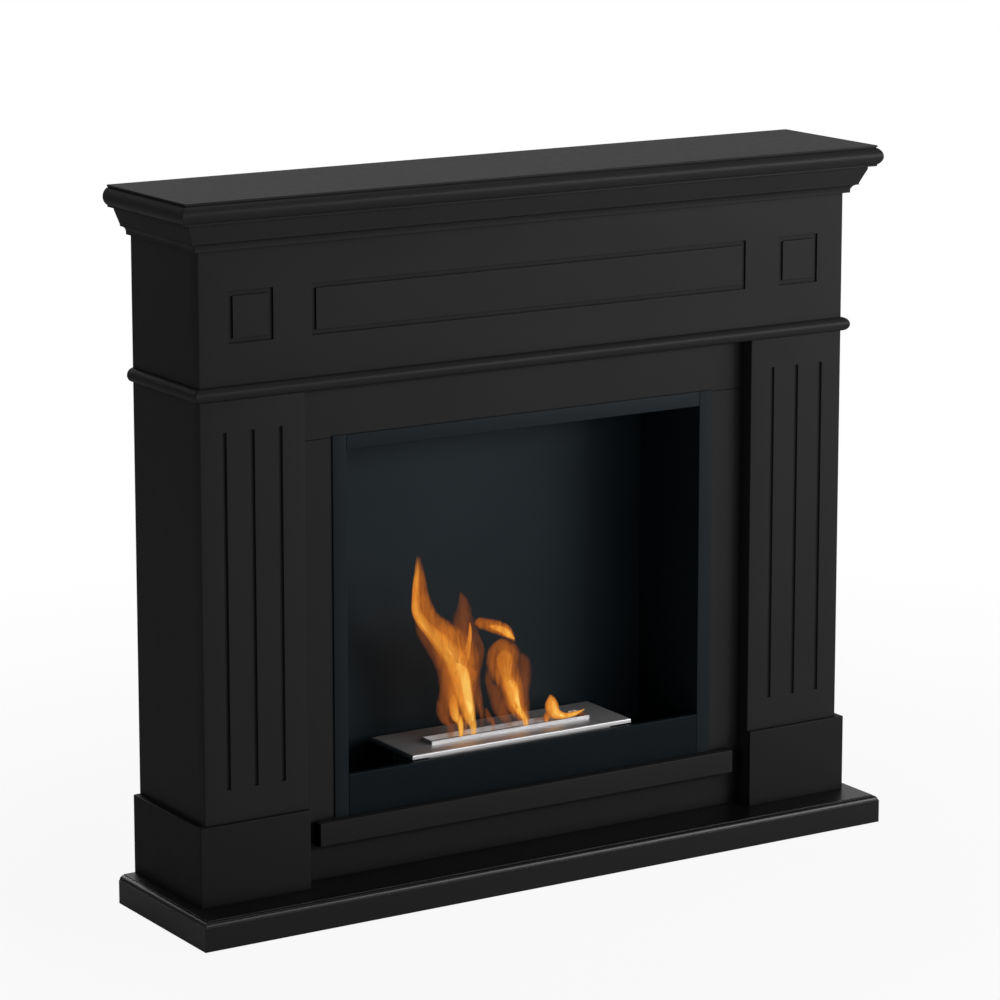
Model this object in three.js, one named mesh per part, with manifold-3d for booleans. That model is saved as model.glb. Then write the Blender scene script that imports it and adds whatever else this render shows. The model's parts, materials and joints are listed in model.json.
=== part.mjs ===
// A free-standing bioethanol fireplace: a black lacquered board portal around a steel firebox,
// with a slotted burner whose shutter slides to close the flame slot.
// Millimetres, +Z up, X across the front. The front faces -Y and the back is the wall plane.
// The origin is on the floor, in the middle of the overall width and depth.

import * as THREE from "three";
import { mergeVertices } from "three/addons/utils/BufferGeometryUtils.js";
import Module from "manifold-3d";

// ---- Overall ----
const HEIGHT = 1000;
const BODY_DEPTH = 188; // from the wall to the face of the pilasters and the frieze

// ---- Boards ----
const FACE_BOARD = 22; // pilasters and frieze, planted on the surround
const CARCASS_BOARD = 18; // side panels, surround and rails
const ARRIS = 2.5; // rounding of the upright outer corners
const EASED_EDGE = 1.2; // rounding of the other edges in view
const SEAM = 0.6; // sunk line where the surround's stiles meet its top rail
const SEAM_DEPTH = 3;

// ---- Base slab ----
const SLAB_THICK = 40.5;
const SLAB_SIDE_OVERHANG = 35; // past the body on each side
const SLAB_FRONT_OVERHANG = 64; // past the body at the front
const SLAB_ROUND = 6.5; // quarter round along the top edge
const SLAB_FILLET = 1; // small steps above and below the quarter round

// ---- Plinths ----
const PLINTH_HEIGHT = 111;
const PLINTH_FRONT_THICK = 7;
const PLINTH_SIDE_THICK = 10;
const PLINTH_ROUND = 1.5;

// ---- Pilasters ----
const PILASTER_WIDTH = 159.3;
const FLUTES = 3;
const FLUTE_WIDTH = 6.6;
const FLUTE_DEPTH = 3;
const FLUTE_ROUND = 2.4; // rounding along the bottom of each flute
const FLUTE_MARGIN = 37.4; // from a pilaster's edge to the middle of the nearest flute
const FLUTE_FOOT = 45.5; // from the plinth up to the flutes
const FLUTE_HEAD = 42.5; // from the flutes up to the bead

// ---- Frieze ----
const FRIEZE_HEIGHT = 241.5; // the whole board, from the bead's underside to the shelf
const BEAD_RADIUS = 10;
const BEAD_PROJECTION = 9.2;
const GROOVE_WIDTH = 6.8;
const GROOVE_DEPTH = 2.5;
const GROOVE_PANEL_HEIGHT = 70;
const SQUARE_WIDTH = 67.6;
const SQUARE_FROM_END = 45.5;
const SQUARE_TO_PANEL = 58.6;

// ---- Cornice: heights up from its underside, and projections from the body ----
const CORNICE_FOOT = 7; // projection of the lowest band
const CORNICE_FOOT_HEIGHT = 3;
const CORNICE_COVE = 9; // quarter-round hollow above that band
const CORNICE_LIP_HEIGHT = 2.5; // small upright band above the hollow
const CORNICE_SPLAY = 8.8; // how far the sloping face leans out
const CORNICE_SPLAY_HEIGHT = 20.5;
const CORNICE_TOP_HEIGHT = 4.5; // upright band under the shelf

// ---- Mantel shelf ----
const SHELF_THICK = 30;
const SHELF_OVERHANG = 34.25; // the flat top, past the body at the front and both sides
const NOSE_PROJECTION = 6.7; // the rounded nose, past the flat top
const NOSE_HEIGHT = 23.6;
const NOSE_FILLET = 2.4; // upright band under the nose
const QUIRK_HEIGHT = 1.2; // sunk line between the nose and the top edge
const QUIRK_DEPTH = 1.3;

// ---- Opening and surround ----
const OPENING_WIDTH = 622;
const OPENING_SILL = 84.5; // from the slab up to the opening
const OPENING_HEAD = 71.5; // from the opening up to the frieze
const STILE_REVEAL = 55.7; // how much of each stile shows between the opening and a pilaster
const RAIL_LAP = 80; // how far the surround's top rail runs up behind the frieze
const BATTEN_END = 34; // how far the batten reaches past the opening at each end
const BATTEN_HEIGHT = 33;
const BATTEN_THICK = 17;
const BATTEN_ROUND = 1.5;

// ---- Hidden rails and cleats ----
const REAR_RAIL_HEIGHT = 60;
const SHELF_CLEAT_HEIGHT = 40;
const SIDE_CLEAT = 22;
const SIDE_CLEAT_LENGTH = 110;
const CLEAT_CLEARANCE = 1;

// ---- Firebox ----
const SHEET = 2;
const FRAME_LAP = 2; // how far the frame's strips lie over the surround
const STRIP_WIDTH = 22;
const TOP_STRIP_HEIGHT = 21;
const STRIP_EDGE = 0.8; // rounding of the strips' edges
const FASCIA_HEIGHT = 58.5;
const FASCIA_FOLD = 6; // how far the fascia's top edge is folded back
const FASCIA_SEAM = 0.5; // from the fascia to each side strip
const FIREBOX_BACK_SPACE = 16; // from the wall to the back sheet

// ---- Firebox brackets and their screws ----
const BRACKET_LEG = 30; // along the firebox wall
const BRACKET_LAP = 22; // how far the other leg reaches over the stile
const BRACKET_HEIGHT = 32;
const BRACKET_FROM_END = 70; // from the firebox's floor or ceiling to the middle of a bracket
const SCREW_RADIUS = 2;
const SCREW_LENGTH = 14;
const SCREW_TIP = 4;
const SCREW_HEAD_RADIUS = 4;
const SCREW_HEAD_HEIGHT = 2.6;
const SCREW_SHOULDER_RADIUS = 3.2; // where the head's dome begins to flatten
const SCREW_SHOULDER_HEIGHT = 1.8;
const SCREW_CLEARANCE = 0.3;

// ---- Burner ----
const PLATE_END_LAP = 30.5; // how far the plate reaches past the tank at each end
const PLATE_EDGE_LAP = 7.5; // and at the front and the back
const PLATE_SHEET = 2;
const PLATE_LIP = 6; // height of the plate's folded edges
const PLATE_GAP = 2; // from the fascia's fold back to the plate
const SLOT_LENGTH = 260;
const SLOT_WIDTH = 25;
const SLOT_FORWARD = 10; // from the plate's middle forwards to the slot's
const COLLAR_HEIGHT = 5; // the slot's edges, turned up above the plate
const TANK_DEPTH = 98;
const TANK_HEIGHT = 62;
const TANK_SHEET = 2;
const WOOL_HEIGHT = 38;
const WOOL_CLEARANCE = 1;

// ---- Burner shutter ----
const SHUTTER_SHEET = 2;
const SHUTTER_CLEARANCE = 0.6; // above the shutter and at its ends
const SHUTTER_END_LAP = 15; // how far the shutter reaches past the slot at each end
const SHUTTER_LEAD = 3; // from the tab to the shutter's leading edge
const SHUTTER_LAP = 2; // behind the slot when the shutter is closed
const SHUTTER_STOP = 0.5; // from the tab to the slot's front edge when closed
const TAB_START = 1; // from the slot's back edge to the tab when open
const TAB_LENGTH = 14;
const TAB_FROM_END = 4; // from the slot's right end to the tab
const TAB_HEIGHT = 3; // above the slot's collar
const TAB_HOLE_RADIUS = 2.2;
const GUIDE_SHEET = 2;
const GUIDE_LEDGE = 8; // how far each guide reaches under the shutter
const GUIDE_SPARE = 1.5; // guide length past the shutter's travel, at each end
const GUIDE_TO_TANK = 2.4; // from each guide to the tank's end wall

// ---- Moulding fit and curve steps ----
const MITRE_GAP = 0.3;
const QUARTER_STEPS = 6;
const HALF_STEPS = 20;
const SCREW_SIDES = 12;

const wasm = await Module();
wasm.setup();

// ---- Materials ----
function finish(color, roughness, metalness) {
  return new THREE.MeshStandardMaterial({ color, roughness, metalness });
}
const lacquer = () => finish("#1b1b1c", 0.42, 0);
const rawBoard = () => finish("#8a6f52", 0.85, 0);
const coatedSteel = () => finish("#171d22", 0.5, 0.3);
const stainless = () => finish("#b4b6b8", 0.3, 1);
const zincSteel = () => finish("#9ba0a3", 0.4, 0.9);
const ceramic = () => finish("#e8e4da", 0.95, 0);

const group = new THREE.Group();

// ---- Places worked out from the sizes ----
const openingHalf = OPENING_WIDTH / 2;
const pilasterInner = openingHalf + STILE_REVEAL;
const bodyHalf = pilasterInner + PILASTER_WIDTH;
const carcassHalf = bodyHalf - CARCASS_BOARD;
const wallY = (BODY_DEPTH + SLAB_FRONT_OVERHANG) / 2;
const ahead = (distance) => wallY - distance; // the Y of a plane this far in front of the wall

const slabTop = SLAB_THICK;
const plinthTop = slabTop + PLINTH_HEIGHT;
const shelfBottom = HEIGHT - SHELF_THICK;
const friezeBottom = shelfBottom - FRIEZE_HEIGHT;
const beadTop = friezeBottom + 2 * BEAD_RADIUS;
const corniceHeight =
  CORNICE_FOOT_HEIGHT + CORNICE_COVE + CORNICE_LIP_HEIGHT + CORNICE_SPLAY_HEIGHT + CORNICE_TOP_HEIGHT;
const corniceBottom = shelfBottom - corniceHeight;
const surroundFace = BODY_DEPTH - FACE_BOARD; // all depths here are distances in front of the wall
const surroundBack = surroundFace - CARCASS_BOARD;
const openingBottom = slabTop + OPENING_SILL;
const openingTop = friezeBottom - OPENING_HEAD;

const frameHalf = openingHalf + FRAME_LAP;
const frameTop = openingTop + FRAME_LAP;
const innerHalf = frameHalf - STRIP_WIDTH;
const fireboxFloorTop = openingBottom + SHEET;
const fireboxCeiling = frameTop - TOP_STRIP_HEIGHT;
const fireboxBackFace = FIREBOX_BACK_SPACE + SHEET;

const tankTop = fireboxFloorTop + TANK_HEIGHT;
const plateTop = tankTop + PLATE_SHEET;
const collarTop = plateTop + COLLAR_HEIGHT;
const plateFront = surroundFace - FASCIA_FOLD - PLATE_GAP;
const tankHalfDepth = TANK_DEPTH / 2;
const plateHalfDepth = tankHalfDepth + PLATE_EDGE_LAP;
const burnerMiddle = plateFront - plateHalfDepth;
const slotFront = burnerMiddle + SLOT_FORWARD + SLOT_WIDTH / 2;
const slotBack = slotFront - SLOT_WIDTH;
const slotHalf = SLOT_LENGTH / 2;
const shutterHalf = slotHalf + SHUTTER_END_LAP;
const guideWeb = shutterHalf + SHUTTER_CLEARANCE; // the inner face of each guide's upright side
const tankHalf = guideWeb + GUIDE_SHEET + GUIDE_TO_TANK + TANK_SHEET;

// ---- Solids ----

function toSolid(geometry) {
  const bare = geometry.clone();
  bare.deleteAttribute("normal");
  bare.deleteAttribute("uv");
  const merged = mergeVertices(bare);
  const mesh = new wasm.Mesh({
    numProp: 3,
    vertProperties: merged.attributes.position.array,
    triVerts: new Uint32Array(merged.index.array),
  });
  return new wasm.Manifold(mesh);
}

function toGeometry(solid) {
  const mesh = solid.getMesh();
  const geometry = new THREE.BufferGeometry();
  geometry.setAttribute("position", new THREE.BufferAttribute(mesh.vertProperties, 3));
  geometry.setIndex(new THREE.BufferAttribute(mesh.triVerts, 1));
  const flat = geometry.toNonIndexed();
  flat.computeVertexNormals();
  return flat;
}

function cut(geometry, ...tools) {
  let solid = toSolid(geometry);
  for (const tool of tools) solid = solid.subtract(toSolid(tool));
  return toGeometry(solid);
}

function join(...geometries) {
  let solid = toSolid(geometries[0]);
  for (const extra of geometries.slice(1)) solid = solid.add(toSolid(extra));
  return toGeometry(solid);
}

function overlapOf(a, b) {
  return toGeometry(toSolid(a).intersect(toSolid(b)));
}

function add(name, geometry, material) {
  const mesh = new THREE.Mesh(geometry, material);
  mesh.name = name;
  group.add(mesh);
}

// A block between two X values, two distances in front of the wall and two heights.
function block(x0, x1, near, far, z0, z1) {
  const unit = new THREE.BoxGeometry(1, 1, 1).translate(0.5, 0.5, 0.5);
  const place = new THREE.Matrix4().makeScale(Math.abs(x1 - x0), far - near, z1 - z0);
  return unit.applyMatrix4(place.setPosition(Math.min(x0, x1), ahead(far), z0));
}

function shapeOf(points) {
  return new THREE.Shape(points.map(([u, v]) => new THREE.Vector2(u, v)));
}

// A shape drawn out by a length: basis holds the directions of the shape's two axes and of the draw.
function extrude(shape, length, basis, origin) {
  const options = { depth: 1, bevelEnabled: false, curveSegments: SCREW_SIDES };
  const unit = new THREE.ExtrudeGeometry(shape, options);
  const [across, up, draw] = basis.map((axis) => new THREE.Vector3(...axis));
  const place = new THREE.Matrix4().makeBasis(across, up, draw.multiplyScalar(length));
  return unit.applyMatrix4(place.setPosition(...origin));
}

// A section of (distance in front of the wall, height) points, drawn out along X.
function alongX(points, x0, x1) {
  const section = points.map(([distance, z]) => [ahead(distance), z]);
  return extrude(shapeOf(section), x1 - x0, [[0, 1, 0], [0, 0, 1], [1, 0, 0]], [x0, 0, 0]);
}

// A shape in (x, height), or its points, drawn out forwards between two distances from the wall.
function forwards(section, near, far) {
  const shape = Array.isArray(section) ? shapeOf(section) : section;
  return extrude(shape, far - near, [[1, 0, 0], [0, 0, 1], [0, -1, 0]], [0, ahead(near), 0]);
}

// A plan of (x, distance in front of the wall) points, drawn out upwards.
function upwards(points, z0, z1) {
  const plan = points.map(([x, distance]) => [x, ahead(distance)]);
  return extrude(shapeOf(plan), z1 - z0, [[1, 0, 0], [0, 1, 0], [0, 0, 1]], [0, 0, z0]);
}

// Points of an arc about (u, v), from one angle to another in degrees.
function arc(u, v, radius, from, to, steps) {
  return Array.from({ length: steps + 1 }, (_, i) => {
    const angle = THREE.MathUtils.degToRad(from + ((to - from) * i) / steps);
    return [u + radius * Math.cos(angle), v + radius * Math.sin(angle)];
  });
}

// A rectangle with its own radius at each corner, from the lowest one round to the last.
function easedRectangle([u0, u1], [v0, v1], [first, second, third, fourth]) {
  const corner = (u, v, radius, from) =>
    radius > 0 ? arc(u, v, radius, from, from + 90, QUARTER_STEPS) : [[u, v]];
  return [
    ...corner(u0 + first, v0 + first, first, 180),
    ...corner(u1 - second, v0 + second, second, 270),
    ...corner(u1 - third, v1 - third, third, 0),
    ...corner(u0 + fourth, v1 - fourth, fourth, 90),
  ];
}

// A length along X whose long edges and whose ends are rounded at the front.
function easedLength(half, depth, heights, edgeRounds, endRound) {
  const section = easedRectangle(depth, heights, edgeRounds);
  const plan = easedRectangle([-half, half], depth, [0, 0, endRound, endRound]);
  return overlapOf(alongX(section, -half, half), upwards(plan, ...heights));
}

// Points of a shallow arc bulging outwards between two heights at one projection.
function bulge(projection, z0, z1, rise, steps) {
  const half = (z1 - z0) / 2;
  const radius = (half * half + rise * rise) / (2 * rise);
  const reach = THREE.MathUtils.radToDeg(Math.asin(half / radius));
  const swing = rise > half ? 180 - reach : reach;
  return arc(projection + rise - radius, (z0 + z1) / 2, radius, -swing, swing, steps);
}

const mirrored = (points) => points.map(([x, v]) => [-x, v]).reverse();

// ---- Mouldings: an edge is a list of (projection, height) points from its foot to its top ----

// A board whose front and both ends carry the same edge, meeting in true mitres.
function mouldedBoard(edge, half, depth) {
  const reach = Math.max(...edge.map(([projection]) => projection)) + 1;
  const front = edge.map(([projection, z]) => [depth + projection, z]);
  const ends = edge.map(([projection, z]) => [half + projection, z]);
  const top = edge[edge.length - 1][1];
  const foot = edge[0][1];
  const across = alongX([...front, [0, top], [0, foot]], -half - reach, half + reach);
  const back = forwards([...ends, ...mirrored(ends)], 0, depth + reach);
  return overlapOf(across, back);
}

// The same edge as three loose lengths round the body: front, left and right, mitred at the corners.
function mouldingLengths(edge) {
  const reach = Math.max(...edge.map(([projection]) => projection)) + 1;
  const foot = edge[0][1];
  const top = edge[edge.length - 1][1];
  const section = edge[0][0] > 0 ? [[0, foot], ...edge, [0, top]] : edge;
  const frontSection = section.map(([projection, z]) => [BODY_DEPTH + projection, z]);
  const endSection = section.map(([projection, z]) => [bodyHalf + projection, z]);
  const frontPlan = [
    [-bodyHalf + reach, BODY_DEPTH - reach],
    [bodyHalf - reach, BODY_DEPTH - reach],
    [bodyHalf + reach, BODY_DEPTH + reach],
    [-bodyHalf - reach, BODY_DEPTH + reach],
  ];
  const endPlan = [
    [bodyHalf - reach, -1],
    [bodyHalf + reach, -1],
    [bodyHalf + reach, BODY_DEPTH + reach - MITRE_GAP],
    [bodyHalf - reach, BODY_DEPTH - reach - MITRE_GAP],
  ];
  const prism = (plan) => upwards(plan, foot - 1, top + 1);
  const across = alongX(frontSection, -bodyHalf - reach, bodyHalf + reach);
  const rightEnd = forwards(endSection, 0, BODY_DEPTH + reach);
  const leftEnd = forwards(mirrored(endSection), 0, BODY_DEPTH + reach);
  return {
    front: overlapOf(across, prism(frontPlan)),
    left: overlapOf(leftEnd, prism(mirrored(endPlan))),
    right: overlapOf(rightEnd, prism(endPlan)),
  };
}

// ---- Base slab and mantel shelf ----

function slabEdge() {
  const roundFoot = slabTop - SLAB_FILLET - SLAB_ROUND;
  return [
    [0, 0],
    [0, roundFoot],
    ...arc(-SLAB_FILLET - SLAB_ROUND, roundFoot, SLAB_ROUND, 0, 90, QUARTER_STEPS),
    [-SLAB_FILLET - SLAB_ROUND, slabTop],
  ];
}

function shelfEdge() {
  const noseFoot = shelfBottom + NOSE_FILLET;
  const noseTop = noseFoot + NOSE_HEIGHT;
  return [
    [0, shelfBottom],
    ...bulge(0, noseFoot, noseTop, NOSE_PROJECTION, HALF_STEPS),
    [-QUIRK_DEPTH, noseTop],
    [-QUIRK_DEPTH, noseTop + QUIRK_HEIGHT],
    [0, noseTop + QUIRK_HEIGHT],
    [0, HEIGHT],
  ];
}

add(
  "base_slab",
  mouldedBoard(slabEdge(), bodyHalf + SLAB_SIDE_OVERHANG, BODY_DEPTH + SLAB_FRONT_OVERHANG),
  lacquer(),
);
add(
  "mantel_shelf",
  mouldedBoard(shelfEdge(), bodyHalf + SHELF_OVERHANG, BODY_DEPTH + SHELF_OVERHANG),
  lacquer(),
);

// ---- Cornice and bead ----

function corniceEdge() {
  const coveFoot = corniceBottom + CORNICE_FOOT_HEIGHT;
  const coveTop = coveFoot + CORNICE_COVE;
  const lipTop = coveTop + CORNICE_LIP_HEIGHT;
  const lip = CORNICE_FOOT + CORNICE_COVE;
  return [
    [CORNICE_FOOT, corniceBottom],
    ...arc(lip, coveFoot, CORNICE_COVE, 180, 90, QUARTER_STEPS),
    [lip, lipTop],
    [lip + CORNICE_SPLAY, lipTop + CORNICE_SPLAY_HEIGHT],
    [lip + CORNICE_SPLAY, shelfBottom],
  ];
}

function addLengths(name, edge) {
  for (const [side, geometry] of Object.entries(mouldingLengths(edge))) {
    add(name + "_" + side, geometry, lacquer());
  }
}

addLengths("cornice", corniceEdge());
addLengths("bead", bulge(0, friezeBottom, beadTop, BEAD_PROJECTION, HALF_STEPS));

// ---- Frieze board with its sunk outlines ----

// The four grooves of a rectangular outline, by its outer half width and height.
function grooveRing(middleX, middleZ, halfWidth, halfHeight) {
  const floor = BODY_DEPTH - GROOVE_DEPTH;
  const past = BODY_DEPTH + 1;
  const around = (w, h, near, far) => block(middleX - w, middleX + w, near, far, middleZ - h, middleZ + h);
  const island = around(halfWidth - GROOVE_WIDTH, halfHeight - GROOVE_WIDTH, floor - 1, past + 1);
  return cut(around(halfWidth, halfHeight, floor, past), island);
}

function friezeBoard() {
  const plan = easedRectangle([-bodyHalf, bodyHalf], [surroundFace, BODY_DEPTH], [0, 0, ARRIS, ARRIS]);
  const middleZ = (beadTop + corniceBottom) / 2;
  const squareMiddle = bodyHalf - SQUARE_FROM_END - SQUARE_WIDTH / 2;
  const panelHalf = squareMiddle - SQUARE_WIDTH / 2 - SQUARE_TO_PANEL;
  const halfHeight = GROOVE_PANEL_HEIGHT / 2;
  return cut(
    upwards(plan, friezeBottom, shelfBottom),
    grooveRing(0, middleZ, panelHalf, halfHeight),
    grooveRing(-squareMiddle, middleZ, SQUARE_WIDTH / 2, halfHeight),
    grooveRing(squareMiddle, middleZ, SQUARE_WIDTH / 2, halfHeight),
  );
}

add("frieze_board", friezeBoard(), lacquer());

// ---- Pilasters, plinths and side panels ----

// Turns a right-hand plan, section or block range into the left-hand one.
const handed = (side, points) => (side < 0 ? mirrored(points) : points);

function fluteTool(side, index) {
  const first = bodyHalf - FLUTE_MARGIN;
  const last = pilasterInner + FLUTE_MARGIN;
  const middle = side * (first + ((last - first) * index) / (FLUTES - 1));
  const half = FLUTE_WIDTH / 2;
  const bottom = plinthTop + FLUTE_FOOT;
  const top = friezeBottom - FLUTE_HEAD;
  const depth = [BODY_DEPTH - FLUTE_DEPTH, BODY_DEPTH + 1];
  const plan = easedRectangle([middle - half, middle + half], depth, [FLUTE_ROUND, FLUTE_ROUND, 0, 0]);
  return upwards(plan, bottom, top);
}

function pilaster(side) {
  const rounds = [0, 0, ARRIS, EASED_EDGE];
  const plan = easedRectangle([pilasterInner, bodyHalf], [surroundFace, BODY_DEPTH], rounds);
  const flutes = Array.from({ length: FLUTES }, (_, i) => fluteTool(side, i));
  return cut(upwards(handed(side, plan), slabTop, friezeBottom), ...flutes);
}

function plinthFront(side) {
  const face = BODY_DEPTH + PLINTH_FRONT_THICK;
  const end = bodyHalf + PLINTH_SIDE_THICK;
  const section = easedRectangle([BODY_DEPTH, face], [slabTop, plinthTop], [0, 0, PLINTH_ROUND, 0]);
  const elevation = easedRectangle([pilasterInner, end], [slabTop, plinthTop], [0, 0, PLINTH_ROUND, 0]);
  const rounds = [0, 0, PLINTH_ROUND, EASED_EDGE];
  const plan = easedRectangle([pilasterInner, end], [BODY_DEPTH, face], rounds);
  const eased = overlapOf(
    forwards(handed(side, elevation), BODY_DEPTH, face),
    upwards(handed(side, plan), slabTop, plinthTop),
  );
  return overlapOf(alongX(section, -end, end), eased);
}

function plinthSide(side) {
  const face = bodyHalf + PLINTH_SIDE_THICK;
  const section = easedRectangle([bodyHalf, face], [slabTop, plinthTop], [0, 0, PLINTH_ROUND, 0]);
  return forwards(handed(side, section), 0, BODY_DEPTH);
}

const sides = { left: -1, right: 1 };

for (const [word, side] of Object.entries(sides)) {
  add("pilaster_" + word, pilaster(side), lacquer());
  add("plinth_front_" + word, plinthFront(side), lacquer());
  add("plinth_side_" + word, plinthSide(side), lacquer());
  add(
    "side_panel_" + word,
    block(side * carcassHalf, side * bodyHalf, 0, surroundFace, slabTop, shelfBottom),
    lacquer(),
  );
}

// ---- Recessed surround and sill batten ----

// The holes that the firebox's screws take in the back of a stile, or in a bracket.
function screwPlaces(side) {
  const x = side * (openingHalf + BRACKET_LAP / 2);
  return {
    lower: [x, fireboxFloorTop + BRACKET_FROM_END],
    upper: [x, fireboxCeiling - BRACKET_FROM_END],
  };
}

function screwHole(x, z, near, far) {
  const hole = new THREE.CylinderGeometry(
    SCREW_RADIUS + SCREW_CLEARANCE,
    SCREW_RADIUS + SCREW_CLEARANCE,
    far - near,
    SCREW_SIDES,
  );
  return hole.translate(x, ahead((near + far) / 2), z);
}

add(
  "surround_top_rail",
  block(-carcassHalf, carcassHalf, surroundBack, surroundFace, openingTop, friezeBottom + RAIL_LAP),
  lacquer(),
);
add(
  "surround_bottom_rail",
  block(-carcassHalf, carcassHalf, surroundBack, surroundFace, slabTop, openingBottom),
  lacquer(),
);
for (const [word, side] of Object.entries(sides)) {
  const [inner, outer] = [side * openingHalf, side * carcassHalf];
  const board = block(inner, outer, surroundBack, surroundFace, openingBottom, openingTop);
  const seamBack = surroundFace - SEAM_DEPTH;
  const seam = block(inner - side, outer + side, seamBack, surroundFace + 1, openingTop - SEAM, openingTop + 1);
  const drilled = surroundBack + SCREW_LENGTH - SHEET + SCREW_CLEARANCE;
  const places = Object.values(screwPlaces(side));
  const holes = places.map(([x, z]) => screwHole(x, z, surroundBack - 1, drilled));
  add("surround_stile_" + word, cut(board, seam, ...holes), lacquer());
}

function sillBatten() {
  const half = openingHalf + BATTEN_END;
  const depth = [surroundFace, surroundFace + BATTEN_THICK];
  const heights = [openingBottom - BATTEN_HEIGHT, openingBottom];
  return easedLength(half, depth, heights, [0, BATTEN_ROUND, BATTEN_ROUND, 0], BATTEN_ROUND);
}

add("sill_batten", sillBatten(), lacquer());

// ---- Rails and cleats behind the face ----

add(
  "rear_rail_top",
  block(-carcassHalf, carcassHalf, 0, CARCASS_BOARD, shelfBottom - REAR_RAIL_HEIGHT, shelfBottom),
  rawBoard(),
);
add(
  "rear_rail_bottom",
  block(-carcassHalf, carcassHalf, 0, CARCASS_BOARD, slabTop, slabTop + REAR_RAIL_HEIGHT),
  rawBoard(),
);
const shelfCleatBottom = shelfBottom - SHELF_CLEAT_HEIGHT;
add(
  "shelf_cleat",
  block(-carcassHalf, carcassHalf, surroundBack, surroundFace, shelfCleatBottom, shelfBottom),
  rawBoard(),
);
for (const [word, side] of Object.entries(sides)) {
  const near = CARCASS_BOARD + CLEAT_CLEARANCE;
  const far = near + SIDE_CLEAT_LENGTH;
  const inner = side * (carcassHalf - SIDE_CLEAT);
  const outer = side * carcassHalf;
  const cleat = (bottom) => block(inner, outer, near, far, bottom, bottom + SIDE_CLEAT);
  add("side_cleat_top_" + word, cleat(shelfBottom - SIDE_CLEAT), rawBoard());
  add("side_cleat_bottom_" + word, cleat(slabTop), rawBoard());
}

// ---- Firebox shell ----

const shellHalf = innerHalf + SHEET;
const levelSheet = (z0, z1) => block(-shellHalf, shellHalf, fireboxBackFace, surroundFace, z0, z1);
add("firebox_floor", levelSheet(openingBottom, fireboxFloorTop), coatedSteel());
add("firebox_ceiling", levelSheet(fireboxCeiling, fireboxCeiling + SHEET), coatedSteel());
add(
  "firebox_back",
  block(-shellHalf, shellHalf, FIREBOX_BACK_SPACE, fireboxBackFace, openingBottom, fireboxCeiling + SHEET),
  coatedSteel(),
);
for (const [word, side] of Object.entries(sides)) {
  const [inner, outer] = [side * innerHalf, side * shellHalf];
  const wall = block(inner, outer, fireboxBackFace, surroundFace, fireboxFloorTop, fireboxCeiling);
  add("firebox_wall_" + word, wall, coatedSteel());
}

// ---- Frame: strips round the firebox's mouth, lying on the surround, and the fascia under it ----

const stripFace = surroundFace + SHEET;
const stripDepth = [surroundFace, stripFace];

for (const [word, side] of Object.entries(sides)) {
  const plan = easedRectangle([innerHalf, frameHalf], stripDepth, [0, 0, STRIP_EDGE, STRIP_EDGE]);
  add("frame_strip_" + word, upwards(handed(side, plan), openingBottom, frameTop), coatedSteel());
}

const topStripRounds = [0, STRIP_EDGE, STRIP_EDGE, 0];
add(
  "frame_strip_top",
  easedLength(innerHalf, stripDepth, [fireboxCeiling, frameTop], topStripRounds, STRIP_EDGE),
  coatedSteel(),
);

const fasciaTop = openingBottom + FASCIA_HEIGHT;
const fasciaHalf = innerHalf - FASCIA_SEAM;
const fascia = [
  [surroundFace, openingBottom],
  [stripFace, openingBottom],
  ...arc(surroundFace, fasciaTop - SHEET, SHEET, 0, 90, QUARTER_STEPS),
  [surroundFace - FASCIA_FOLD, fasciaTop],
  [surroundFace - FASCIA_FOLD, fasciaTop - SHEET],
  [surroundFace, fasciaTop - SHEET],
];
add("frame_fascia", alongX(fascia, -fasciaHalf, fasciaHalf), coatedSteel());

// ---- Brackets that hold the firebox to the stiles, with their screws ----

function bracket(side, [x, z]) {
  const end = openingHalf + BRACKET_LAP;
  const plan = [
    [shellHalf, surroundBack],
    [shellHalf, surroundBack - BRACKET_LEG],
    [shellHalf + SHEET, surroundBack - BRACKET_LEG],
    [shellHalf + SHEET, surroundBack - SHEET],
    [end, surroundBack - SHEET],
    [end, surroundBack],
  ];
  const angle = upwards(handed(side, plan), z - BRACKET_HEIGHT / 2, z + BRACKET_HEIGHT / 2);
  return cut(angle, screwHole(x, z, surroundBack - SHEET - 1, surroundBack + 1));
}

// A domed screw lying along Y, its head against the back of the bracket.
function screw([x, z]) {
  const profile = [
    [0, SCREW_LENGTH],
    [SCREW_RADIUS, SCREW_LENGTH - SCREW_TIP],
    [SCREW_RADIUS, 0],
    [SCREW_HEAD_RADIUS, 0],
    [SCREW_SHOULDER_RADIUS, -SCREW_SHOULDER_HEIGHT],
    [0, -SCREW_HEAD_HEIGHT],
  ].reverse();
  const points = profile.map(([r, length]) => new THREE.Vector2(r, length));
  const turned = new THREE.LatheGeometry(points, SCREW_SIDES).rotateX(Math.PI);
  return turned.translate(x, ahead(surroundBack - SHEET), z);
}

for (const [word, side] of Object.entries(sides)) {
  for (const [level, place] of Object.entries(screwPlaces(side))) {
    add("firebox_bracket_" + word + "_" + level, bracket(side, place), zincSteel());
    add("bracket_screw_" + word + "_" + level, screw(place), zincSteel());
  }
}

// ---- Burner: tank, wool, plate ----

// A block in the middle of the burner, by its half width, half depth and two heights.
function inBurner(half, halfDepth, z0, z1) {
  return block(-half, half, burnerMiddle - halfDepth, burnerMiddle + halfDepth, z0, z1);
}

function burnerTank() {
  const outer = inBurner(tankHalf, tankHalfDepth, fireboxFloorTop, tankTop);
  const innerDepth = tankHalfDepth - TANK_SHEET;
  const inner = inBurner(tankHalf - TANK_SHEET, innerDepth, fireboxFloorTop + TANK_SHEET, tankTop + 1);
  return cut(outer, inner);
}

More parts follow.
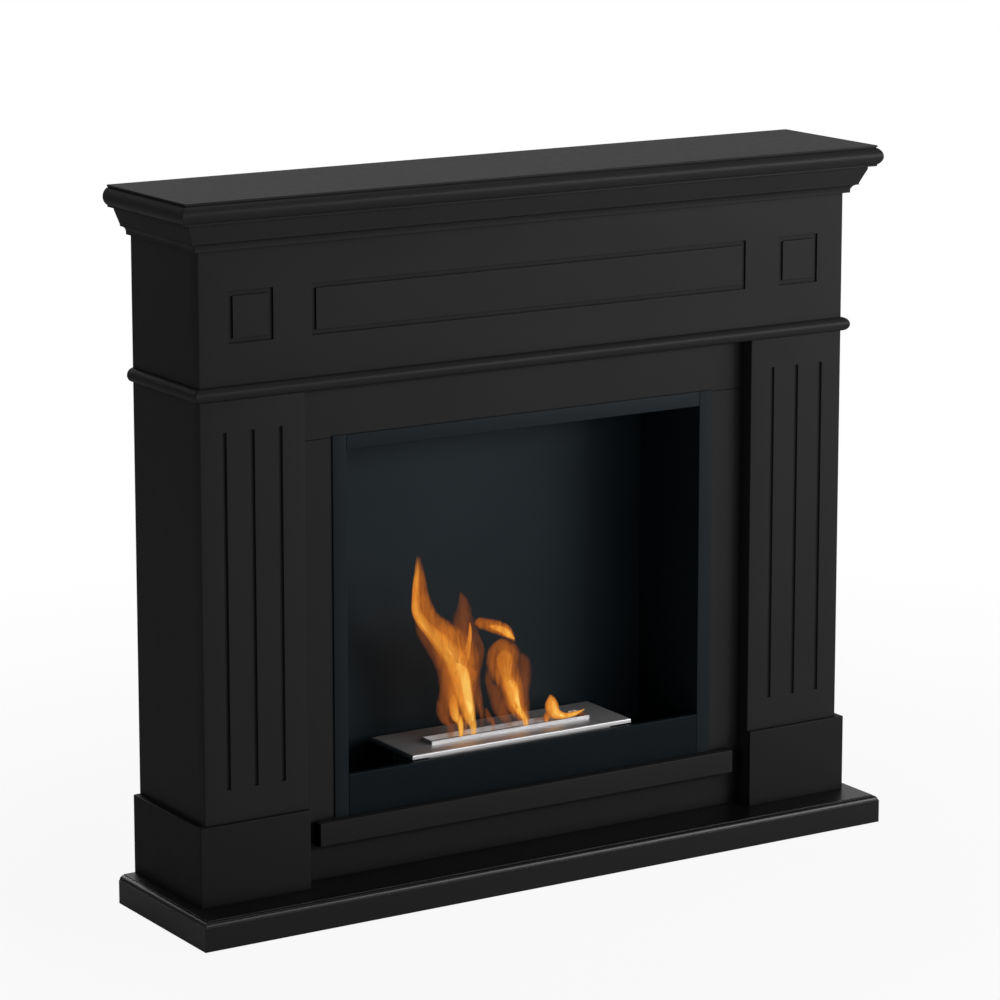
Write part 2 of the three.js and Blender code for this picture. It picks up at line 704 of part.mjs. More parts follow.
function ceramicWool() {
  const inset = TANK_SHEET + WOOL_CLEARANCE;
  const bottom = fireboxFloorTop + TANK_SHEET;
  return inBurner(tankHalf - inset, tankHalfDepth - inset, bottom, bottom + WOOL_HEIGHT);
}

function burnerPlate() {
  const plateHalf = tankHalf + PLATE_END_LAP;
  const lipBottom = plateTop - PLATE_LIP;
  const bends = [0, 0, PLATE_SHEET, PLATE_SHEET];
  const elevation = easedRectangle([-plateHalf, plateHalf], [lipBottom, plateTop], bends);
  const depth = [burnerMiddle - plateHalfDepth, burnerMiddle + plateHalfDepth];
  const section = easedRectangle(depth, [lipBottom, plateTop], bends);
  const folded = overlapOf(forwards(elevation, ...depth), alongX(section, -plateHalf, plateHalf));
  const under = inBurner(plateHalf - PLATE_SHEET, plateHalfDepth - PLATE_SHEET, lipBottom - 1, tankTop);
  const collarHalf = slotHalf + PLATE_SHEET;
  const [collarBack, collarFront] = [slotBack - PLATE_SHEET, slotFront + PLATE_SHEET];
  const collar = block(-collarHalf, collarHalf, collarBack, collarFront, tankTop, collarTop);
  const slot = block(-slotHalf, slotHalf, slotBack, slotFront, tankTop - 1, collarTop + 1);
  return cut(join(folded, collar), under, slot);
}

add("burner_tank", burnerTank(), stainless());
add("ceramic_wool", ceramicWool(), ceramic());
add("burner_plate", burnerPlate(), stainless());

// ---- Shutter and its guides, at rest with the slot open ----

const tabBack = slotBack + TAB_START;
const tabFront = tabBack + SHUTTER_SHEET;
const shutterTravel = slotFront - SHUTTER_STOP - tabFront;
const shutterFront = tabFront + SHUTTER_LEAD;
const shutterBack = slotBack - SHUTTER_LAP - shutterTravel;
const shutterTop = tankTop - SHUTTER_CLEARANCE;
const shutterBottom = shutterTop - SHUTTER_SHEET;

function shutterTab() {
  const right = slotHalf - TAB_FROM_END;
  const left = right - TAB_LENGTH;
  const top = collarTop + TAB_HEIGHT;
  const outline = shapeOf([[left, shutterBottom], [right, shutterBottom], [right, top], [left, top]]);
  const eye = new THREE.Path();
  const eyeZ = top - TAB_HOLE_RADIUS - SHUTTER_SHEET / 2;
  eye.absarc((left + right) / 2, eyeZ, TAB_HOLE_RADIUS, 0, 2 * Math.PI, true);
  outline.holes.push(eye);
  return forwards(outline, tabBack, tabFront);
}

const shutterSheet = block(-shutterHalf, shutterHalf, shutterBack, shutterFront, shutterBottom, shutterTop);
add("burner_shutter", join(shutterSheet, shutterTab()), stainless());

for (const [word, side] of Object.entries(sides)) {
  const ledge = guideWeb - GUIDE_LEDGE;
  const ledgeTop = shutterBottom - SHUTTER_CLEARANCE / 2;
  const section = [
    [ledge, ledgeTop - GUIDE_SHEET],
    [guideWeb + GUIDE_SHEET, ledgeTop - GUIDE_SHEET],
    [guideWeb + GUIDE_SHEET, tankTop],
    [guideWeb, tankTop],
    [guideWeb, ledgeTop],
    [ledge, ledgeTop],
  ];
  const near = shutterBack - GUIDE_SPARE;
  const far = shutterFront + shutterTravel + GUIDE_SPARE;
  add("shutter_guide_" + word, forwards(handed(side, section), near, far), stainless());
}

export default group;
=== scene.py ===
"""A bioethanol fireplace in a plain studio.

Black satin portal, blue-black firebox, stainless burner and its flames. Metres, +Z up, +X to the right along
the front, the front facing -Y.
"""

import json
import math

import bpy
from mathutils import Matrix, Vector


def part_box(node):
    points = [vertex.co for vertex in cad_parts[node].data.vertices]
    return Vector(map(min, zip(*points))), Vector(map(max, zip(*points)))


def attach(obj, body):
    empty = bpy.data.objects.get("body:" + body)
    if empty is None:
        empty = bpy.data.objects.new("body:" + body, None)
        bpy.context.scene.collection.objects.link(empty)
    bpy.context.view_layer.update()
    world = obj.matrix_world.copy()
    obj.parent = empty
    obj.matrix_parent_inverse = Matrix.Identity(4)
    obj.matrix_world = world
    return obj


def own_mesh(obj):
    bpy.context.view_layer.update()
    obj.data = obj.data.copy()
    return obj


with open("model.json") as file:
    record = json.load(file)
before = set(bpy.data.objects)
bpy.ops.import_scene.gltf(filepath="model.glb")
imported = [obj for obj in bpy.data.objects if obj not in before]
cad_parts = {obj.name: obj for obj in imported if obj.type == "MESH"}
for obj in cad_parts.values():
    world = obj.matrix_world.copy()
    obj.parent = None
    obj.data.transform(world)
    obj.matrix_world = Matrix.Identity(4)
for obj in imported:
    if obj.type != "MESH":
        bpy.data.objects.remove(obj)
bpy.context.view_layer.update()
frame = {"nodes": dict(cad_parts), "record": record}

# ---- Camera, near the photograph's ----
CAMERA_PLACE = (-2.966, -4.672, 1.738)
CAMERA_YAW = 32.24  # degrees from +Y towards +X
CAMERA_PITCH = -10.64  # degrees above the level
CAMERA_LENS = 145.3
CAMERA_SHIFT_Y = -0.12
CAMERA_CLIP_END = 100.0

# ---- Studio ----
BACKGROUND = (1.0, 1.0, 1.0)
AMBIENT = (0.035, 0.037, 0.042)
BACK_LIGHT = (0.78, 0.78, 0.78)  # the light wall behind the object, as lamplight and reflections meet it
BACK_LIGHT_TOWARDS = (0.52, 0.83, 0.22)
BACK_LIGHT_EDGE = 0.55  # the cosine from that direction where the wall's light starts
BACK_LIGHT_FULL = 0.95  # and where it is at its full
FLOOR_COLOUR = (0.50, 0.50, 0.50)
FLOOR_GLOW = 0.92  # how far the seen floor leans to the white of the background, by the object
FLOOR_SHEEN = 0.15  # the same for the floor as reflections meet it
FLOOR_NEAR = 0.7  # from here outwards the floor fades into the background
FLOOR_FAR = 2.0
FLOOR_RADIUS = 40.0
FLOOR_SIDES = 64

# Each lamp: name, place, what it is turned to, width and height, watts.
LAMPS = (
    ("key", (3.45, -3.0, 1.25), (0.0, -0.1, 0.75), (2.8, 1.4), 114),
    ("fill", (0.2, -4.2, 1.2), (0.0, -0.1, 0.7), (1.8, 1.2), 14),
    ("bar", (1.57, -2.28, 1.39), (0.0, -0.1, 0.1), (1.6, 0.60), 24),  # draws the bright line along the slab
    ("back", (-0.2, 3.1, 1.2), (0.0, 0.1, 0.5), (1.6, 1.2), 22),
    ("left", (-3.3, -0.1, 0.45), (0.0, 0.0, 0.5), (1.6, 1.0), 12),
    ("top", (0.3, -0.3, 3.2), (0.0, 0.0, 0.9), (1.4, 1.4), 18),
)

# ---- Lacquer and steel ----
LACQUER_DARK = (0.0165, 0.0165, 0.0168)
LACQUER_LIGHT = (0.0205, 0.0203, 0.0202)
# the near black of the painted shade in corners and recesses
PAINTED_SHADE_COLOUR = (0.004, 0.004, 0.004, 1)
LACQUER_ARRIS = 0.0009  # radius that the shading rounds the edges to
STEEL_ARRIS = 0.0006
SHELL_DARK = (0.0075, 0.0125, 0.0165)
SHELL_LIGHT = (0.0110, 0.0180, 0.0225)
FRAME_DARK = (0.0062, 0.0096, 0.0120)
FRAME_LIGHT = (0.0085, 0.0130, 0.0158)
FASCIA_DARK = (0.0030, 0.0052, 0.0068)
FASCIA_LIGHT = (0.0045, 0.0074, 0.0094)

# ---- Smooth shading ----
SMOOTH_ANGLE = math.radians(28)  # edges sharper than this stay sharp
WELD = 0.00001

# ---- Flames ----
PLATE_LOW, PLATE_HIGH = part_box("burner_plate")
SLOT_FORWARD = 0.010  # from the plate's middle forwards to the slot's
FLAME_Y = round((PLATE_LOW[1] + PLATE_HIGH[1]) / 2 - SLOT_FORWARD, 4)  # the middle of the slot
WOOL_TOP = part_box("ceramic_wool")[1][2]
FOOT_RISE = 0.007  # from the top of the wool to the tongues' feet, which stand inside the tank
FLAME_FOOT = round(WOOL_TOP + FOOT_RISE, 4)
FOOT_LEAN = 0.001  # each foot stands this much to the right of the tongue's last row
FLAME_DEPTH = 0.4  # a tongue's depth as a share of its width
FLAME_SIDES = 24
FLAME_STEPS = 5  # rings from each row to the next

# Their outlines were read in an enlarged crop of the photograph. These place a reading in the scene.
CROP_CORNER = (400, 550)  # pixels of the photograph at the crop's top left corner
CROP_ZOOM = 4
VIEW_AHEAD = (0.5243, 0.8313, -0.1846)  # the camera's axes, near enough
VIEW_RIGHT = (0.8458, -0.5335, 0.0)
VIEW_UP = (0.0985, 0.1561, 0.9828)
VIEW_MIDDLE = (500, 380)  # the pixel that lies straight ahead
VIEW_FOCUS = 4036  # pixels from there to one that lies at 45 degrees
PIXEL_WIDTH = 0.00145  # about what a pixel covers at the flames, in metres
ASLANT = 1.18  # how much wider a tongue is than it looks, as the camera sees it aslant


# ---- Node helpers ----
def new_material(name):
    """A material, its node tree and its Principled shader."""
    material = bpy.data.materials.new(name)
    material.use_nodes = True
    tree = material.node_tree
    tree.nodes.clear()
    shader = tree.nodes.new("ShaderNodeBsdfPrincipled")
    output = tree.nodes.new("ShaderNodeOutputMaterial")
    tree.links.new(shader.outputs["BSDF"], output.inputs["Surface"])
    return material, tree, shader


def put(tree, socket, value):
    """Links a socket, or sets a constant on it."""
    if isinstance(value, bpy.types.NodeSocket):
        tree.links.new(value, socket)
    else:
        socket.default_value = value


def node(tree, kind, settings=None, **inputs):
    """A node with its settings and its inputs, by their names with underscores for spaces."""
    made = tree.nodes.new(kind)
    for name, value in (settings or {}).items():
        setattr(made, name, value)
    for name, value in inputs.items():
        put(tree, made.inputs[name.replace("_", " ")], value)
    return made


def place_in_object(tree, stretch=(1, 1, 1)):
    """Object coordinates, scaled on each axis."""
    coords = node(tree, "ShaderNodeTexCoord").outputs["Object"]
    mapping = node(tree, "ShaderNodeMapping", Vector=coords, Scale=stretch)
    return mapping.outputs["Vector"]


def noise(tree, place, scale, detail=2.0, roughness=0.5, distortion=0.0):
    made = node(
        tree,
        "ShaderNodeTexNoise",
        Vector=place,
        Scale=scale,
        Detail=detail,
        Roughness=roughness,
        Distortion=distortion,
    )
    return made.outputs[0]


def spread(tree, value, low, high, from_low=0.0, from_high=1.0):
    """A value mapped from one range to another, and kept inside it."""
    ends = {"From_Min": from_low, "From_Max": from_high, "To_Min": low, "To_Max": high}
    return node(tree, "ShaderNodeMapRange", Value=value, **ends).outputs[0]


def blend(tree, kind, sockets, share, first, second):
    """A Mix node. Its sockets share their names, so the two inputs and the result go by number."""
    first_input, second_input, result = sockets
    made = node(tree, "ShaderNodeMix", {"data_type": kind}, Factor=share)
    put(tree, made.inputs[first_input], first)
    put(tree, made.inputs[second_input], second)
    return made.outputs[result]


def blend_colours(tree, share, first, second):
    return blend(tree, "RGBA", (6, 7, 2), share, first, second)


def blend_values(tree, share, first, second):
    return blend(tree, "FLOAT", (2, 3, 0), share, first, second)


def calculate(tree, operation, first, second):
    made = node(tree, "ShaderNodeMath", {"operation": operation})
    put(tree, made.inputs[0], first)
    put(tree, made.inputs[1], second)
    return made.outputs[0]


def calculate_vector(tree, operation, first, second=None):
    """A Vector Math node whose result is a value."""
    made = node(tree, "ShaderNodeVectorMath", {"operation": operation})
    put(tree, made.inputs[0], first)
    if second is not None:
        put(tree, made.inputs[1], second)
    return made.outputs["Value"]


def toned(colour, tone):
    """A colour made darker by tone, with its alpha."""
    return (*(tone * part for part in colour), 1)


def bump(tree, height, strength, distance, normal=None):
    made = node(tree, "ShaderNodeBump", Height=height, Strength=strength, Distance=distance)
    if normal is not None:
        put(tree, made.inputs["Normal"], normal)
    return made.outputs["Normal"]


def rounded_arris(tree, radius):
    return node(tree, "ShaderNodeBevel", {"samples": 4}, Radius=radius).outputs["Normal"]


# ---- Materials ----
def lacquer(name, tone, polish, painted_shade_share=0.85, reach=0.012):
    """Satin black lacquer on fibreboard: faint orange peel, a cloudy sheen, eased arrises.

    It has painted shade in the corners: it is darker and duller there by the given share, and as far out as
    reach.
    """
    material, tree, shader = new_material(name)
    place = place_in_object(tree)
    clouds = noise(tree, place, scale=5.0, detail=3.0)
    # painted shade: occlusion within reach darkens the colour in corners and recesses
    near = node(tree, "ShaderNodeAmbientOcclusion", {"samples": 6}, Distance=reach).outputs["AO"]
    painted_shade = spread(tree, near, painted_shade_share, 0.0, from_low=0.40, from_high=0.80)
    black = blend_colours(tree, clouds, toned(LACQUER_DARK, tone), toned(LACQUER_LIGHT, tone))
    colour = blend_colours(tree, painted_shade, black, PAINTED_SHADE_COLOUR)
    arris = rounded_arris(tree, LACQUER_ARRIS)
    peel = bump(tree, noise(tree, place, scale=420.0), strength=0.10, distance=0.0004, normal=arris)
    grit = noise(tree, place, scale=1900.0, detail=3.0, roughness=0.6)
    tooth = bump(tree, grit, strength=0.12, distance=0.0002, normal=peel)
    put(tree, shader.inputs["Base Color"], colour)
    sheen = spread(tree, noise(tree, place, scale=60.0), 0.50, 0.62)
    put(tree, shader.inputs["Roughness"], blend_values(tree, painted_shade, sheen, 0.9))
    put(tree, shader.inputs["Specular IOR Level"], 0.04)
    put(tree, shader.inputs["Normal"], tooth)
    put(tree, shader.inputs["Coat Weight"], polish)
    put(tree, shader.inputs["Coat Roughness"], 0.32)
    put(tree, shader.inputs["Coat Normal"], peel)
    return material


def raw_board():
    """Bare fibreboard: fine pressed fibres in two browns."""
    material, tree, shader = new_material("raw_board")
    fibres = noise(tree, place_in_object(tree, (1.0, 1.0, 3.0)), scale=260.0, detail=6.0, roughness=0.7)
    clouds = noise(tree, place_in_object(tree), scale=9.0, detail=3.0)
    colour = blend_colours(tree, fibres, (0.20, 0.135, 0.075, 1), (0.40, 0.30, 0.19, 1))
    shaded = blend_colours(tree, spread(tree, clouds, 0.0, 0.35), colour, (0.24, 0.17, 0.10, 1))
    put(tree, shader.inputs["Base Color"], shaded)
    put(tree, shader.inputs["Roughness"], 0.85)
    put(tree, shader.inputs["Normal"], bump(tree, fibres, strength=0.35, distance=0.0004))
    return material


def coated_steel(name, dark, light, gloss):
    """Blue-black powder coat with its fine grain, between two tones."""
    material, tree, shader = new_material(name)
    place = place_in_object(tree)
    grain = noise(tree, place, scale=1500.0, detail=3.0, roughness=0.6)
    clouds = noise(tree, place, scale=7.0)
    colour = blend_colours(tree, clouds, (*dark, 1), (*light, 1))
    arris = rounded_arris(tree, STEEL_ARRIS)
    put(tree, shader.inputs["Base Color"], colour)
    put(tree, shader.inputs["Roughness"], spread(tree, grain, 0.40, 0.56))
    put(tree, shader.inputs["Specular IOR Level"], gloss)
    put(tree, shader.inputs["Normal"], bump(tree, grain, strength=0.18, distance=0.0003, normal=arris))
    return material


def stainless():
    """Stainless steel brushed along its length."""
    material, tree, shader = new_material("stainless")
    lines = noise(tree, place_in_object(tree, (0.02, 1.0, 1.0)), scale=2600.0, detail=4.0, roughness=0.65)
    smears = noise(tree, place_in_object(tree, (0.5, 1.0, 1.0)), scale=22.0, detail=3.0)
    colour = blend_colours(tree, smears, (0.46, 0.45, 0.45, 1), (0.60, 0.60, 0.61, 1))
    put(tree, shader.inputs["Base Color"], colour)
    put(tree, shader.inputs["Metallic"], 0.85)
    put(tree, shader.inputs["Roughness"], spread(tree, lines, 0.38, 0.58))
    put(tree, shader.inputs["Normal"], bump(tree, lines, strength=0.25, distance=0.0002))
    return material


def zinc_steel():
    """Bright zinc plate with a cloudy bloom."""
    material, tree, shader = new_material("zinc_steel")
    place = place_in_object(tree)
    bloom = noise(tree, place, scale=140.0, detail=4.0, roughness=0.6)
    colour = blend_colours(tree, bloom, (0.42, 0.45, 0.48, 1), (0.62, 0.62, 0.58, 1))
    put(tree, shader.inputs["Base Color"], colour)
    put(tree, shader.inputs["Metallic"], 1.0)
    put(tree, shader.inputs["Roughness"], spread(tree, bloom, 0.30, 0.50))
    relief = bump(tree, noise(tree, place, scale=900.0), strength=0.15, distance=0.0002)
    put(tree, shader.inputs["Normal"], relief)
    return material


def ceramic():
    """White ceramic wool: matted fibres."""
    material, tree, shader = new_material("ceramic")
    place = place_in_object(tree, (0.4, 1.0, 1.0))
    fibres = noise(tree, place, scale=700.0, detail=6.0, roughness=0.75, distortion=0.6)
    colour = blend_colours(tree, fibres, (0.62, 0.59, 0.53, 1), (0.86, 0.84, 0.80, 1))
    put(tree, shader.inputs["Base Color"], colour)
    put(tree, shader.inputs["Roughness"], 0.95)
    put(tree, shader.inputs["Normal"], bump(tree, fibres, strength=0.7, distance=0.002))
    return material


# Each slot's finish, and the pieces that have a finish of their own.
FINISHES = {
    "lacquer": lacquer("lacquer", tone=1.0, polish=0.065),
    "raw_board": raw_board(),
    "coated_steel": coated_steel("coated_steel", SHELL_DARK, SHELL_LIGHT, gloss=0.10),
    "stainless": stainless(),
    "zinc_steel": zinc_steel(),
    "ceramic": ceramic(),
}
# Painted shade: the slab, plinth and batten copies darken their corners further out, and the pilaster copy
# less. The plinth and batten copies, which the bottom rail also uses, are darker all over as painted shade
# near the floor.
SLAB_LACQUER = lacquer("lacquer_slab", tone=0.15, polish=0.59, painted_shade_share=0.9, reach=0.030)
PLINTH_LACQUER_PAINTED_SHADE = lacquer("lacquer_plinth_painted_shade", tone=0.74, polish=0.065, painted_shade_share=1.0, reach=0.022)
BATTEN_LACQUER_PAINTED_SHADE = lacquer("lacquer_batten_painted_shade", tone=0.92, polish=0.065, painted_shade_share=1.0, reach=0.030)
PILASTER_LACQUER = lacquer("lacquer_pilaster", tone=1.0, polish=0.065, painted_shade_share=0.35)
FRAME_STEEL = coated_steel("coated_steel_frame", FRAME_DARK, FRAME_LIGHT, gloss=0.09)
FASCIA_STEEL = coated_steel("coated_steel_fascia", FASCIA_DARK, FASCIA_LIGHT, gloss=0.06)
OWN_FINISHES = {
    "base_slab": SLAB_LACQUER,
    "plinth_front_left": PLINTH_LACQUER_PAINTED_SHADE,
    "plinth_front_right": PLINTH_LACQUER_PAINTED_SHADE,
    "plinth_side_left": PLINTH_LACQUER_PAINTED_SHADE,
    "plinth_side_right": PLINTH_LACQUER_PAINTED_SHADE,
    "surround_bottom_rail": PLINTH_LACQUER_PAINTED_SHADE,
    "sill_batten": BATTEN_LACQUER_PAINTED_SHADE,
    "pilaster_left": PILASTER_LACQUER,
    "pilaster_right": PILASTER_LACQUER,
    "frame_strip_left": FRAME_STEEL,
    "frame_strip_right": FRAME_STEEL,
    "frame_strip_top": FRAME_STEEL,
    "frame_fascia": FASCIA_STEEL,
}


# ---- Frame pieces: finish, and smooth shading over the rounded mouldings ----
def smooth_by_angle():
    """Welds the triangles and shades them smooth, but for edges sharper than SMOOTH_ANGLE."""
    tree = bpy.data.node_groups.new("smooth_by_angle", "GeometryNodeTree")
    tree.interface.new_socket("Geometry", in_out="INPUT", socket_type="NodeSocketGeometry")
    tree.interface.new_socket("Geometry", in_out="OUTPUT", socket_type="NodeSocketGeometry")
    start = tree.nodes.new("NodeGroupInput")
    end = tree.nodes.new("NodeGroupOutput")
    bare = node(tree, "GeometryNodeRemoveAttribute", Geometry=start.outputs[0], Name="custom_normal")
    welded = node(tree, "GeometryNodeMergeByDistance", Geometry=bare.outputs[0], Distance=WELD).outputs[0]
    angle = node(tree, "GeometryNodeInputMeshEdgeAngle").outputs["Unsigned Angle"]
    less = {"data_type": "FLOAT", "operation": "LESS_THAN"}
    gentle = node(tree, "FunctionNodeCompare", less, A=angle, B=SMOOTH_ANGLE).outputs[0]
    shaded = welded
    for domain, smooth in (("EDGE", gentle), ("FACE", True)):
        setting = {"domain": domain}
        shading = node(tree, "GeometryNodeSetShadeSmooth", setting, Geometry=shaded, Shade_Smooth=smooth)
        shaded = shading.outputs[0]
    tree.links.new(shaded, end.inputs[0])
    return tree


def dress_frame():
    smoothing = smooth_by_angle()
    for part in frame["record"]["subparts"]:
        piece = frame["nodes"][part["node"]]
        finish = OWN_FINISHES.get(part["node"], FINISHES[part["material_slot"]])
        piece.material_slots[0].material = finish
        modifier = piece.modifiers.new("smooth", "NODES")
        modifier.node_group = smoothing


dress_frame()


# ---- Flames: closed tongues in the slot, read from the tip down as (across, down, half width) ----
TALL_SHEET = (
    (71, 10, 3), (80, 70, 14), (84, 130, 22), (88, 190, 30), (100, 242, 36), (128, 288, 40),
    (172, 342, 58), (212, 392, 76), (234, 436, 80), (240, 480, 74), (238, 540, 72), (235, 600, 66),
    (242, 650, 52), (262, 690, 36),
)
TALL_CORE = (
    (70, 14, 2), (70, 76, 11), (66, 140, 14), (62, 200, 16), (66, 245, 18), (85, 285, 20),
    (115, 320, 23), (150, 355, 29), (185, 395, 35), (215, 435, 39), (235, 480, 39), (250, 530, 36),
    (260, 580, 34), (270, 630, 30), (283, 680, 21), (293, 706, 15),
)
HOT_CORE = (
    (165, 378, 3), (198, 418, 14), (224, 460, 21), (240, 500, 23), (250, 550, 21), (260, 600, 18),
    (268, 640, 13), (277, 676, 4),
)
INNER_STRAND = (
    (268, 282, 3), (268, 330, 8), (264, 370, 10), (258, 410, 11), (250, 450, 10), (243, 492, 4),
)
SECOND_TIP = (
    (240, 168, 3), (250, 200, 18), (256, 235, 30), (252, 270, 42), (262, 320, 48), (275, 370, 42),
    (278, 430, 32), (272, 480, 15), (268, 520, 3),
)
LEFT_VEIL = (
    (56, 250, 3), (76, 310, 18), (108, 362, 24), (146, 420, 27), (172, 475, 30), (184, 530, 32),
    (188, 580, 30), (190, 630, 26), (206, 672, 20), (218, 704, 16),
)
LEFT_FILAMENT = (
    (176, 455, 3), (180, 500, 12), (176, 550, 16), (170, 600, 18), (170, 640, 16), (186, 680, 14),
    (206, 710, 12),
)
LOW_FLAME = ((212, 572, 3), (212, 605, 14), (215, 635, 18), (223, 665, 17), (242, 700, 13))
SIDE_VEIL = (
    (306, 325, 3), (318, 370, 14), (318, 410, 20), (308, 460, 23), (300, 520, 23), (306, 580, 22),
    (318, 630, 20), (330, 676, 15),
)
CURL = (
    (296, 297, 5), (316, 291, 20), (350, 300, 25), (390, 309, 26), (425, 326, 24), (446, 346, 16),
    (460, 368, 4),
)
CURL_HEART = ((345, 300, 3), (375, 308, 11), (405, 319, 14), (430, 336, 13), (450, 354, 3))
LOBE = (
    (412, 350, 8), (412, 372, 44), (412, 405, 66), (412, 440, 67), (418, 475, 60), (430, 510, 52),
    (445, 550, 46), (455, 590, 42), (468, 630, 37), (490, 665, 28), (508, 688, 20),
)
LOBE_CORE = (
    (415, 392, 8), (412, 420, 31), (412, 450, 31), (415, 480, 25), (421, 510, 21), (435, 540, 26),
    (445, 575, 26), (453, 610, 20), (471, 645, 15), (493, 678, 12),
)
LOBE_HOT = ((424, 520, 3), (438, 548, 12), (447, 578, 13), (455, 605, 9), (464, 634, 2))
LOBE_RIGHT = (
    (480, 405, 6), (490, 440, 26), (495, 480, 33), (494, 525, 32), (492, 570, 29), (496, 610, 25),
    (506, 650, 18), (518, 682, 13),
)
LOBE_LEFT = (
    (344, 462, 3), (352, 500, 16), (361, 540, 20), (385, 580, 32), (401, 615, 38), (411, 645, 33),
    (421, 670, 24), (432, 690, 18),
)
SMALL_FLAME = (
    (600, 578, 3), (604, 600, 20), (606, 622, 27), (613, 641, 26), (628, 656, 20), (650, 663, 13),
    (675, 662, 10), (700, 655, 9), (722, 645, 5), (736, 639, 2),
)
SMALL_FOOT = ((600, 640, 4), (594, 655, 15), (588, 668, 15), (584, 680, 11))
SMALL_HEART = ((603, 598, 3), (606, 619, 12), (614, 641, 13), (630, 655, 9), (654, 662, 3))
LOW_TAIL = ((688, 656, 3), (712, 652, 8), (738, 660, 8), (766, 673, 2))
LEFT_WISP = ((150, 592, 2), (154, 625, 11), (161, 655, 15), (178, 682, 14), (196, 706, 11))
MIDDLE_WISP = ((344, 628, 2), (349, 652, 11), (358, 676, 14), (371, 694, 11))


def flame(name, cool, hot, cover, ragged, foot):
    """Glowing gas in streaks of two colours, hotter towards the foot, feathered away at its sides and tip.

    Its alpha is cover at most. The streaks tear it by ragged, and at its foot the share foot of it is left.
    """
    material, tree, shader = new_material(name)
    shape = node(tree, "ShaderNodeAttribute", {"attribute_name": "shape"}).outputs["Color"]
    parts = node(tree, "ShaderNodeSeparateColor", Color=shape).outputs
    middle, along = parts[0], parts[1]
    place = place_in_object(tree, (1.0, 1.0, 0.25))
    streaks = noise(tree, place, scale=105.0, detail=3.0, roughness=0.55, distortion=0.9)
    streaks = spread(tree, streaks, 0.0, 1.0, from_low=0.36, from_high=0.64)
    feather = calculate(tree, "POWER", middle, 2.0)
    heat = calculate(tree, "MULTIPLY", feather, spread(tree, streaks, 0.25, 1.15))
    warmer_below = spread(tree, along, 0.40, 1.0, from_low=0.15, from_high=0.60)
    heat = calculate(tree, "MULTIPLY", heat, warmer_below)
    put(tree, shader.inputs["Emission Color"], blend_colours(tree, heat, (*cool, 1), (*hot, 1)))
    thin_tip = spread(tree, along, 0.0, 1.35, from_low=0.0, from_high=0.14)
    whole = calculate(tree, "MULTIPLY", feather, thin_tip)
    thin_foot = spread(tree, along, 1.0, foot, from_low=0.66, from_high=0.95)
    whole = calculate(tree, "MULTIPLY", whole, thin_foot)
    torn = calculate(tree, "MULTIPLY", spread(tree, streaks, 1.0, 0.0), ragged)
    remaining = calculate(tree, "SUBTRACT", whole, torn)
    put(tree, shader.inputs["Alpha"], spread(tree, remaining, 0.0, cover, from_low=0.0, from_high=0.85))
    put(tree, shader.inputs["Base Color"], (0.02, 0.01, 0.005, 1))
    put(tree, shader.inputs["Roughness"], spread(tree, streaks, 0.8, 1.0))
    put(tree, shader.inputs["Specular IOR Level"], 0.0)
    put(tree, shader.inputs["Emission Strength"], 1.0)
    return material


def in_slot_plane(across, down):
    """The x and z of a reading, to the millimetre, in the upright plane through the slot's middle."""
    rightwards = (CROP_CORNER[0] + across / CROP_ZOOM - VIEW_MIDDLE[0]) / VIEW_FOCUS
    upwards = (VIEW_MIDDLE[1] - CROP_CORNER[1] - down / CROP_ZOOM) / VIEW_FOCUS
    axes = zip(VIEW_AHEAD, VIEW_RIGHT, VIEW_UP)
    x, y, z = (ahead + rightwards * right + upwards * up for ahead, right, up in axes)
    reach = (FLAME_Y - CAMERA_PLACE[1]) / y
    return round(CAMERA_PLACE[0] + reach * x, 3), round(CAMERA_PLACE[2] + reach * z, 3)


def rows_of(readings, foot):
    """The readings as rows of x, z and half width, and for a tongue that has a foot, the foot's own row."""
    rows = []
    for across, down, half in readings:
        width = round(half / CROP_ZOOM * PIXEL_WIDTH * ASLANT, 4)
        rows.append((*in_slot_plane(across, down), width))
    if foot:
        rows.append((round(rows[-1][0] + FOOT_LEAN, 3), FLAME_FOOT, foot))
    return rows


def through(rows):
    """A smooth Catmull-Rom run of rings through the rows."""
    points = [Vector(row) for row in (rows[0], *rows, rows[-1])]
    run = []
    for a, b, c, d in zip(points, points[1:], points[2:], points[3:]):
        for step in range(FLAME_STEPS):
            t = step / FLAME_STEPS
            square = (2 * a - 5 * b + 4 * c - d) * t**2
            cube = (3 * b - a - 3 * c + d) * t**3
            run.append(0.5 * (2 * b + (c - a) * t + square + cube))
    return [*run, points[-1]]


